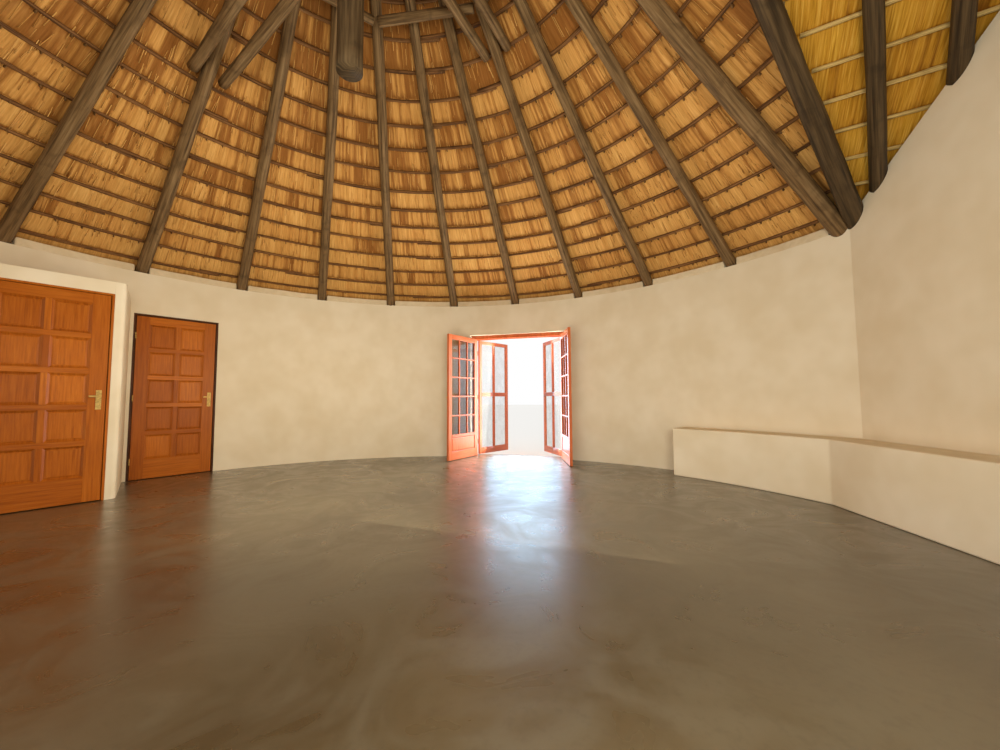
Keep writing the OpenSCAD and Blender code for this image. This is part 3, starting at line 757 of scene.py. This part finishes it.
def makeGableUnderside():
    dice = np.random.default_rng(4)
    columns = int(reedLook["gableWide"] / reedLook["cell"])
    t = (np.arange(columns + 1) * reedLook["cell"] + reedLook["gableFirst"])[None, :]
    patches = []
    for side in (1, -1):
        for row in range(reedLook["gableRows"]):
            low = hut["ringIn"] - lathRadii[0] - hut["lathRun"] + row * hut["lathRun"]
            hang, tint = bundleRow(dice, columns)
            s = low + hut["lathRun"] * bundleShare
            place = onGable(s, t, thatchLift - bundleDrop(hang) * steep) * np.array([1, side, 1])
            chart = np.stack(np.broadcast_arrays(t + row * 2.9, s * steep), -1)
            # painted shade beside the laths
            tint = np.clip(tint[None, :] - bundleLathShade, 0, 1)
            turned = slice(None, None, -side)
            patches.append((place[:, turned], chart[:, turned], tint[:, turned]))
    bm = bmesh.new()
    bm.from_mesh(sheets("gableReedUnderside", patches))
    cutPlane(bm, bm.verts[:] + bm.edges[:] + bm.faces[:], (hut["verge"] - 0.01, 0, 0), (1, 0, 0), True)
    cutPlane(bm, bm.verts[:] + bm.edges[:] + bm.faces[:], (0, 0, 0), (0, 1, 0))
    gone = []
    for face in bm.faces:
        spot = face.calc_center_median()
        mine = underGable(spot.x, abs(spot.y))
        radius = hypot(spot.x, spot.y)
        wrongSide = abs(mine + thatchLift - spot.z) > 0.06
        if wrongSide or under(radius) > mine + 0.004 or radius > hut["eaves"] + 0.05 or spot.x < valleyR:
            gone.append(face)
    bmesh.ops.delete(bm, geom=gone, context="FACES")
    bm.transform(gableTurn)
    # the second slope's reed takes the copy with painted light
    newPiece("gableReedUnderside", bm, "goldReed", closed=False)


def axesMatrix(*axes):
    return Matrix(axes).transposed().to_4x4()


def coneMatrix(r, angle, lift, width, length, lean, thick=1.0):
    # x across the slope, y up it and z out of the roof
    across = Vector((-sin(angle), cos(angle), 0))
    out = coneNormal(angle)
    turned = axesMatrix(across, out.cross(across), out)
    spot = Vector((r * cos(angle), r * sin(angle), under(r) + thatchLift)) + out * lift
    return (Matrix.Translation(spot) @ turned @ Matrix.Rotation(lean, 4, "Z")
            @ Matrix.Diagonal((width, length, thick, 1)))


def makeStraws():  # loose stalks that show between the laths
    dice = random.Random(8)
    places, tints = [], []
    while len(places) < reedLook["straws"]:
        r = sqrt(dice.uniform(reedLook["strawsFrom"] ** 2, reedLook["strawsTo"] ** 2))
        angle = dice.uniform(0, tau)
        away = abs(remainder(angle - radians(hut["gableAngle"]), tau))
        if away < valleyHalf(r) + 0.04:
            continue
        places.append(coneMatrix(r, angle, -0.008 - dice.uniform(0, 0.007), dice.uniform(0.003, 0.007),
                                 dice.uniform(0.08, 0.26), dice.gauss(0, 0.06), dice.uniform(0.002, 0.004)))
        tints.append(dice.uniform(0.1, 1))
    template = bmesh.new()
    bmesh.ops.create_cube(template, size=1)
    copies("looseStraws", template, places, np.array(tints), "reed")


makeUnderside()
makeGableUnderside()
makeStraws()
stage("underside of the thatch made")


# Outside of the thatch: a shaggy coat of tufts over the solid cone, and the ends at the eaves

coatLook = {"row": 0.15, "width": 0.06, "length": 0.34, "proud": 0.009, "fray": 0.09, "ends": 7000,
            "stalk": 0.0045, "slopeRows": 38, "slopeColumns": 80, "slopeLow": 1.3,
            "slopeSide": 2.6}


def tuft():
    bm = bmesh.new()
    bmesh.ops.create_grid(bm, x_segments=2, y_segments=2, size=0.5)
    for vert in bm.verts:
        x, y = vert.co.x * 2, vert.co.y + 0.5
        vert.co.z = coatLook["proud"] * (1 - y) ** 1.5 - 0.004 * x * x - 0.004 * y
        if y < 0.1:
            vert.co.y += coatLook["fray"] * (0.7 * x * x - 0.3 * x - 0.5)
    return bm


def overGable(x, y, r):  # true where the cone's own thatch lies on top
    return x < 1.0 or under(r) > underGable(x, abs(y))


def weathered(place, middle, dice):  # tint of a tuft: broad patches and a little chance
    return min(1, max(0, middle + 0.35 * noise.noise(place * 0.9) + dice.gauss(0, 0.07)))


def makeCoat():
    dice = random.Random(21)
    places, tints = [], []
    r = hut["eaves"] - 0.01
    while r > 0.5:
        count = round(tau * r / coatLook["width"])
        band = dice.uniform(0.5, 0.6)
        for number in range(count):
            angle = tau * (number + dice.uniform(-0.3, 0.3)) / count
            here = r + dice.uniform(-0.03, 0.03)
            outer = here + hut["thatch"] * sin(pitch)
            spot = gableBack @ Vector((outer * cos(angle), outer * sin(angle), 0))
            if overGable(spot.x, spot.y, outer):
                length = coatLook["length"] * dice.uniform(0.8, 1.2)
                wide = coatLook["width"] * dice.uniform(1.0, 1.6)
                seat = coneMatrix(here, angle, hut["thatch"] + 0.002, wide, length, dice.gauss(0, 0.05))
                places.append(seat @ Matrix.Translation((0, 0.5, 0)))
                tints.append(weathered(places[-1].translation, band, dice))
        r -= coatLook["row"] / steep * dice.uniform(0.9, 1.1)
    upward = Vector((fallX, fallY, hut["rise"])).normalized()
    across = Vector((-fallY, fallX, 0))
    out = across.cross(upward)
    if out.z < 0:
        across, out = -across, -out
    turned = axesMatrix(across, upward, out)
    ups = [s * coatLook["row"] / steep - coatLook["slopeLow"] for s in range(coatLook["slopeRows"])]
    sideways = [t * coatLook["width"] - coatLook["slopeSide"] for t in range(coatLook["slopeColumns"])]
    for side in (1, -1):
        for s, t in itertools.product(ups, sideways):
            place = Vector(onGable(s + dice.uniform(-0.03, 0.03), t, outerLift))
            radius = hypot(place.x, place.y)
            shown = place.y > 0.05 and 1 < place.x < hut["verge"] - 0.04 and radius < hut["eaves"] + 0.09
            if shown and not overGable(place.x, place.y, radius):
                leant = turned @ Matrix.Rotation(dice.gauss(0, 0.05), 4, "Z")
                tall = min(coatLook["length"], place.y / -fallY * steep)
                sized = Matrix.Diagonal((coatLook["width"] * 1.3, tall, 1, 1))
                seat = Matrix.Diagonal((1, side, 1, 1)) @ Matrix.Translation(place + out * 0.002)
                places.append(gableTurn @ seat @ leant @ sized @ Matrix.Translation((0, 0.5, 0)))
                tints.append(weathered(places[-1].translation, 0.55, dice))
    copies("thatchTufts", tuft(), places, np.array(tints), "thatchCoat")
    print(len(places), "tufts")


def makeEavesEnds():
    dice = random.Random(22)
    places, tints = [], []
    for number in range(coatLook["ends"]):
        angle = tau * number / coatLook["ends"]
        depth = dice.uniform(0.004, hut["thatch"] - 0.004)
        r = hut["eaves"] + depth * sin(pitch)
        spot = gableBack @ Vector((r * cos(angle), r * sin(angle), 0))
        if not overGable(spot.x, spot.y, r):
            continue
        seat = coneMatrix(hut["eaves"], angle, depth, 1, 1, dice.gauss(0, 0.12))
        proud = dice.uniform(0.0, 0.016)
        places.append(seat @ Matrix.Translation((0, -proud, 0)) @ Matrix.Rotation(pi / 2, 4, "X")
                      @ Matrix.Diagonal((dice.uniform(0.6, 1.3), dice.uniform(0.6, 1.3), 0.05, 1))
                      @ Matrix.Translation((0, 0, -0.5)))
        tints.append(dice.uniform(0, 1))
    template = bmesh.new()
    pin(template, 3, coatLook["stalk"], 1)
    copies("eavesEnds", template, places, np.array(tints), "thatchCoat")


def makeShells():
    for name, nodeName in (("thatchShell", "thatch"), ("gableShell", "gable_thatch")):
        bm = copyOf(nodeName)
        chart = bm.loops.layers.uv.new("strand")
        tint = bm.faces.layers.float.new("tint")
        for face in bm.faces:
            face[tint] = 0.5
            middle = face.calc_center_median()
            turn = atan2(middle.y, middle.x)
            outwards = Vector((cos(turn), sin(turn), 0))
            fromSide = face.normal.z < 0.1 and face.normal.dot(outwards) > 0.4
            face.material_index = 1 if fromSide else 0
            for loop in face.loops:
                here = turn + remainder(atan2(loop.vert.co.y, loop.vert.co.x) - turn, tau)
                loop[chart].uv = (here * 5, loop.vert.co.z / (1 if fromSide else sin(pitch)))
        newPiece(name, bm, ["thatchCoat", "reedEnds"], stands=(nodeName,), smooth=False)


makeCoat()
makeEavesEnds()
makeShells()
stage("outside of the thatch made")


# Masonry with softened edges

def softened(name, nodeName, material, width, body="hut", segments=2, rough=0.0):
    bm = copyOf(nodeName, 1.0)
    sharp = [e for e in bm.edges if len(e.link_faces) == 2 and e.calc_face_angle(0) > sharpTurn]
    bevelled(bm, sharp, width, segments)
    if rough:
        for vert in bm.verts:
            vert.co += noise.noise_vector(vert.co * 6) * rough
    return newPiece(name, bm, material, body, stands=(nodeName,), smooth=False)


def makeCaps():
    for name, nodeName in (("peakCap", "peak_cap"), ("gableCap", "gable_cap")):
        bm = copyOf(nodeName, 1.0)
        bmesh.ops.triangulate(bm, faces=bm.faces)
        for turn in range(3):
            longest = [e for e in bm.edges if e.calc_length() > 0.09]
            bmesh.ops.subdivide_edges(bm, edges=longest, cuts=1)
            bmesh.ops.triangulate(bm, faces=bm.faces)
        for vert in bm.verts:
            vert.co += noise.noise_vector(vert.co * 7) * 0.006
        newPiece(name, bm, "mortar", stands=(nodeName,))


softened("benchSoft", "bench", "plaster", 0.014, segments=3)
softened("beamFillingSoft", "beam_filling", "filling", 0.012, rough=0.004)
makeCaps()
stage("masonry softened")


# Joinery. A leaf's own axes run from its hinge pin: x along it, y through it and z up.

leaves = {
    "washroomLeaf": {"pin": (3.73401, -0.08078), "turn": 245.6, "flip": 1, "body": "washroom_leaf"},
    "sideLeaf": {"pin": (4.18981, -1.51956), "turn": -115.2, "flip": 1, "body": "side_leaf"},
    "leftGlazed": {"pin": (0.762, -4.494), "turn": 72, "flip": 1, "body": "left_glazed"},
    "rightGlazed": {"pin": (0.762, -4.494), "turn": 75, "flip": -1, "body": "right_glazed"},
    "leftScreen": {"pin": (0.762, -4.626), "turn": 242, "flip": 1, "body": "left_screen"},
    "rightScreen": {"pin": (0.762, -4.626), "turn": 237, "flip": -1, "body": "right_screen"},
}
joinery = {"sole": 0.088, "pinOff": 0.003, "pinOut": 0.006, "thick": 0.04, "screenThick": 0.034,
           "glazedWide": 0.754, "glazedHigh": 2.006, "panelWide": 0.81, "panelHigh": 2.032}


def leafMatrix(look):
    return (Matrix.Diagonal((look["flip"], 1, 1, 1)) @ Matrix.Translation((*look["pin"], joinery["sole"]))
            @ Matrix.Rotation(radians(look["turn"]), 4, "Z"))


def newJoinery():
    bm = bmesh.new()
    return bm, bm.loops.layers.uv.new("strand"), bm.faces.layers.float.new("tint")


def chartFaces(faces, chart, tint, grain, value, shift):
    for face in faces:
        face[tint] = value
        flat = max(range(3), key=lambda i: abs(face.normal[i]))
        free = [i for i in range(3) if i != flat]
        v = grain if grain in free else free[1]
        u = free[0] if v == free[1] else free[1]
        for loop in face.loops:
            loop[chart].uv = (loop.vert.co[u] + shift, loop.vert.co[v] + shift * 3)


def cube(bm, low, high):
    size = [h - l for l, h in zip(low, high)]
    centre = [(l + h) / 2 for l, h in zip(low, high)]
    place = Matrix.Translation(centre) @ Matrix.Diagonal((*size, 1))
    return bmesh.ops.create_cube(bm, size=1, matrix=place)["verts"]


def board(work, low, high, grain, dice, soften=0.0015, segments=1):
    bm, chart, tint = work
    verts = cube(bm, low, high)
    edges = unique(e for v in verts for e in v.link_edges)
    bevelled(bm, edges, soften, segments)
    bm.normal_update()
    fresh = [f for f in bm.faces if f[tint] == 0]
    chartFaces(fresh, chart, tint, grain, 0.55 + dice.uniform(-0.2, 0.4), dice.uniform(0, 20))


# The last value of each step darkens the moulding or groove it makes: painted shade in the panel's recess.
def sunkPanel(work, low, high, grain, steps, dice):  # steps are (inset, depth, tint) on both broad faces
    bm, chart, tint = work
    faces = unique(f for v in cube(bm, low, high) for f in v.link_faces)
    bm.normal_update()
    shift, base = dice.uniform(0, 20), 0.6 + dice.uniform(-0.2, 0.35)
    chartFaces(faces, chart, tint, grain, base, shift)
    for broad in [f for f in faces if abs(f.normal.y) > 0.9]:
        for inset, depth, shade in steps:
            made = bmesh.ops.inset_individual(bm, faces=[broad], thickness=inset, depth=depth)["faces"]
            for face in made:
                face.normal_update()
            chartFaces(made, chart, tint, grain, base * shade, shift)


def endLeaf(work, name, nodeName, material):
    work[0].transform(leafMatrix(leaves[name]))
    newPiece(name, work[0], material, leaves[name]["body"], stands=(nodeName,), smooth=False)


def leafSides(wide):  # ends along the leaf, then its two faces
    start, face = joinery["pinOff"], joinery["pinOut"]
    return start, start + wide, face, face + joinery["thick"]


def stilesAndRails(work, sides, top, stile, rails, dice, soften=0.0015):
    x0, x1, y0, y1 = sides
    for a, b in ((x0, x0 + stile), (x1 - stile, x1)):
        board(work, (a, y0, 0), (b, y1, top), 2, dice, soften)
    for a, b in rails:
        board(work, (x0 + stile, y0, a), (x1 - stile, y1, b), 0, dice, soften)


# the steps' last values paint shade into the mouldings and grooves
panelLook = {"stile": 0.124, "middle": 0.042, "rail": 0.05, "low": 0.24, "head": 0.1, "sunk": 0.0012,
             "steps": [(0.024, -0.013, 0.75), (0.003, 0.0, 0.4), (0.014, 0.003, 0.9)]}


def makePanelLeaf(name, nodeName, seed):
    dice, work = random.Random(seed), newJoinery()
    stile, middle, rail, low, head, sunk, steps = panelLook.values()
    x0, _, y0, y1 = sides = leafSides(joinery["panelWide"])
    top = joinery["panelHigh"]
    wide = (joinery["panelWide"] - 2 * stile - middle) / 2
    high = (top - head - low - 4 * rail) / 5
    rails = [(0, low)] + [(low + j * (high + rail) - rail, low + j * (high + rail)) for j in range(1, 5)]
    stilesAndRails(work, sides, top, stile, [*rails, (top - head, top)], dice)
    for j in range(5):
        z = low + j * (high + rail)
        board(work, (x0 + stile + wide, y0, z), (x0 + stile + wide + middle, y1, z + high), 2, dice)
        for x in (x0 + stile, x0 + stile + wide + middle):
            sunkPanel(work, (x, y0 + sunk, z), (x + wide, y1 - sunk, z + high), 2, steps, dice)
    endLeaf(work, name, nodeName, "doorWood")


# the steps' last values paint shade into the mouldings and grooves
glazedLook = {"stile": 0.078, "foot": 0.13, "low": 0.4, "rail": 0.045, "bar": 0.024, "lip": 0.004,
              "sunk": 0.0012, "steps": [(0.01, -0.008, 0.3), (0.004, 0, 0.5), (0.02, 0.004, 0.9)]}


def makeGlazedLeaf(name, nodeName, paneNode, seed):
    dice, work = random.Random(seed), newJoinery()
    stile, foot, low, rail, bar, lip, sunk, steps = glazedLook.values()
    x0, x1, y0, y1 = sides = leafSides(joinery["glazedWide"])
    top = joinery["glazedHigh"]
    stepX = (joinery["glazedWide"] - 2 * stile + bar) / 3
    stepZ = (top - stile - low + bar) / 5
    rails = ((top - stile, top), (0, foot), (low - rail, low))
    stilesAndRails(work, sides, top, stile, rails, dice, 0.002)
    sunkPanel(work, (x0 + stile, y0 + sunk, foot), (x1 - stile, y1 - sunk, low - rail), 2, steps, dice)
    for i in (1, 2):
        x = x0 + stile + i * stepX - bar
        board(work, (x, y0 + 0.003, low), (x + bar, y1 - 0.003, top - stile), 2, dice, 0.007, 2)
    for j in range(1, 5):
        z = low + j * stepZ - bar
        board(work, (x0 + stile, y0 + 0.004, z), (x1 - stile, y1 - 0.004, z + bar), 0, dice, 0.007, 2)
    endLeaf(work, name, nodeName, "frameWood")
    panes = bmesh.new()
    for i in range(3):
        for j in range(5):
            x, z = x0 + stile + i * stepX - lip, low + j * stepZ - lip
            wide, high = stepX - bar + 2 * lip, stepZ - bar + 2 * lip
            cube(panes, (x, y0 + 0.018, z), (x + wide, y0 + 0.022, z + high))
    panes.transform(leafMatrix(leaves[name]))
    newPiece(name + "Panes", panes, "glass", leaves[name]["body"], (paneNode,), smooth=False)


screenLook = {"stile": 0.062, "low": 0.11, "middle": (1.01, 1.08), "post": 0.04}


def makeScreenLeaf(name, nodeName, seed):
    dice, work = random.Random(seed), newJoinery()
    stile, low, middle, post = screenLook.values()
    x0, x1, y0, y1 = leafSides(joinery["glazedWide"])
    y0, y1 = -y0 - joinery["screenThick"], -y0
    top = joinery["glazedHigh"]
    rails = ((0, low), middle, (top - stile, top))
    stilesAndRails(work, (x0, x1, y0, y1), top, stile, rails, dice, 0.003)
    centre = (x0 + x1) / 2
    for a, b in ((low, middle[0]), (middle[1], top - stile)):
        board(work, (centre - post / 2, y0, a), (centre + post / 2, y1, b), 2, dice, 0.004, 2)
    endLeaf(work, name, nodeName, "frameWood")


def makeThreshold():  # a strip behind the side door's foot
    dice, work = random.Random(41), newJoinery()
    board(work, (0.013, 0.052, -0.008), (0.803, 0.09, 0.012), 0, dice, 0.003, 2)
    work[0].transform(leafMatrix(leaves["sideLeaf"]))
    newPiece("sideThreshold", work[0], "darkWood", smooth=False)


knuckles = {"heights": (0.22, 1.0, 1.78), "apart": 0.026, "radius": 0.0054, "length": 0.0245}


def makeKnuckles():
    for name, look in leaves.items():
        bm = bmesh.new()
        for z in knuckles["heights"]:
            for part in (-knuckles["apart"], 0, knuckles["apart"]):
                pin(bm, 12, knuckles["radius"], knuckles["length"], Matrix.Translation((0, 0, z + part)))
        bm.transform(leafMatrix(look))
        newPiece(name + "Knuckles", bm, "brass", look["body"])


def makeFrame(name, nodeName, material, turn, head):
    bm = copyOf(nodeName, 1.0)
    bm.transform(Matrix.Rotation(radians(-turn), 4, "Z"))
    bevelled(bm, [e for e in bm.edges if e.calc_face_angle(0) > sharpTurn], 0.002)
    bm.normal_update()
    chart, tint = bm.loops.layers.uv.new("strand"), bm.faces.layers.float.new("tint")
    for face in bm.faces:
        grain = 0 if face.calc_center_median().z > head else 2
        chartFaces([face], chart, tint, grain, 0.7, 3.0 if grain else 9.0)
    bm.transform(Matrix.Rotation(radians(turn), 4, "Z"))
    newPiece(name, bm, material, stands=(nodeName,), smooth=False)


makePanelLeaf("washroomLeaf", "washroom_door", 31)
makePanelLeaf("sideLeaf", "side_door", 32)
makeGlazedLeaf("leftGlazed", "left_glazed_leaf", "left_panes", 33)
makeGlazedLeaf("rightGlazed", "right_glazed_leaf", "right_panes", 34)
makeScreenLeaf("leftScreen", "left_screen_leaf", 35)
makeScreenLeaf("rightScreen", "right_screen_leaf", 36)
makeThreshold()
makeKnuckles()
makeFrame("glazedFrame", "glazed_door_frame", "frameWood", 0, 2.09)
makeFrame("sideFrame", "side_door_frame", "darkWood", -115.2, 2.12)
makeFrame("washroomFrame", "washroom_door_frame", "doorWood", 65.6, 2.12)
softened("leverSoft", "lever_handle", "brass", 0.0025, body="left_glazed")
softened("sideLockSoft", "side_door_lock", "brass", 0.0025, body="side_leaf")
softened("washroomLockSoft", "washroom_door_lock", "brass", 0.0025, body="washroom_leaf")
stage("joinery made")


# CAD nodes that keep their own shape

kept = {
    "plaster": ("front_left_wall", "front_right_wall", "side_wall", "back_wall", "wall_over_glazed_doors",
                "wall_over_side_door", "gable_wall", "washroom_pier", "washroom_wall", "washroom_head",
                "washroom_ceiling"),
    "screed": ("floor", "door_sills"),
    "flyMesh": ("left_mesh", "right_mesh"),
}
for material, names in kept.items():
    for name in names:
        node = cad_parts[name]
        node.data.materials.clear()
        node.data.materials.append(finish[material])


# Camera, light and the pale floor

eye = {"place": (-1.400, 1.821, 1.06), "heading": -74.8, "tilt": 3.52, "roll": -0.32, "lens": 13.716}


def addCamera():
    data = bpy.data.cameras.new("camera")
    data.sensor_width = 36
    data.lens = eye["lens"]
    data.clip_start = 0.02
    made = newObject("camera", data)
    turn = Matrix.Rotation(radians(eye["heading"] - 90), 4, "Z")
    tip = Matrix.Rotation(radians(90 + eye["tilt"]), 4, "X")
    made.matrix_world = Matrix.Translation(eye["place"]) @ turn @ tip @ Matrix.Rotation(
        radians(eye["roll"]), 4, "Z")
    bpy.context.scene.camera = made


def addArea(name, place, target, size, power, colour):
    data = bpy.data.lights.new(name, "AREA")
    data.shape = "RECTANGLE"
    data.size, data.size_y = size
    data.energy = power
    data.color = colour
    made = newObject(name, data)
    way = Vector(target) - Vector(place)
    made.matrix_world = Matrix.Translation(place) @ way.to_track_quat("-Z", "Y").to_matrix().to_4x4()
    made.visible_camera = False
    made.visible_glossy = False
    made.visible_transmission = False
    return made


def addSun(power, softness, turn, tip):  # angles in degrees
    data = bpy.data.lights.new("sun", "SUN")
    data.energy = power
    data.angle = radians(softness)
    made = newObject("sun", data)
    made.matrix_world = (Matrix.Rotation(radians(turn), 4, "Z")
                         @ Matrix.Rotation(radians(tip), 4, "X"))


def addStage():
    bm = bmesh.new()
    bmesh.ops.create_grid(bm, x_segments=1, y_segments=1, size=60)
    mesh = bpy.data.meshes.new("stageFloor")
    bm.to_mesh(mesh)
    bm.free()
    made = newObject("stageFloor", mesh)
    material, _, shader = newMaterial("stageFloor", roughness=0.9)
    shader.inputs["Base Color"].default_value = tone(226, 224, 220)
    mesh.materials.append(material)
    made.location.z = -0.001


def addWorld():
    world = bpy.data.worlds.new("world")
    bpy.context.scene.world = world
    world.use_nodes = True
    tree = world.node_tree
    back = tree.nodes["Background"]
    rays = addNode(tree, "LightPath")
    first = addNode(tree, "Math", operation="MAXIMUM")
    seen = addNode(tree, "Math", operation="MAXIMUM")
    wire(tree, rays.outputs["Is Camera Ray"], first.inputs[0], rays.outputs["Is Glossy Ray"], first.inputs[1],
         first.outputs["Value"], seen.inputs[0], rays.outputs["Is Transmission Ray"], seen.inputs[1],
         reach(tree, seen.outputs["Value"], 0.7, 1.0), back.inputs["Strength"])
    back.inputs["Color"].default_value = (1, 1, 1, 1)


addCamera()
addStage()
addWorld()
addArea("roomLight", (-2.3, 2.7, 1.6), (2.8, -1.9, 1.6), (2.0, 1.6), 175, (1.0, 0.96, 0.88))
addArea("leftLight", (0.6, -1.2, 1.4), (4.2, -1.2, 1.5), (1.6, 1.4), 36, (1.0, 0.93, 0.78))
addArea("rightLight", (-0.4, 3.2, 1.5), (-3.8, -1.2, 1.4), (1.6, 1.4), 62, (0.84, 0.94, 1.0))
addArea("lowLight", (-0.6, -0.6, 0.3), (-0.9, -3.6, 3.0), (2.4, 2.4), 92, (1.0, 0.96, 0.86))
addArea("doorLight", (0, -4.85, 1.1), (0, 0, 1.6), (1.3, 1.9), 150, (1.0, 1.0, 1.0))
doorShine = addArea("doorShine", (0, -4.9, 1.15), (0, 0, 1.1), (1.35, 2.0), 24, (0.46, 0.74, 1.0))
doorShine.visible_glossy = True
addSun(2.0, 18, 38, 50)

bpy.context.scene.view_settings.view_transform = "Standard"
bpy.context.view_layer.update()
stage("scene made")
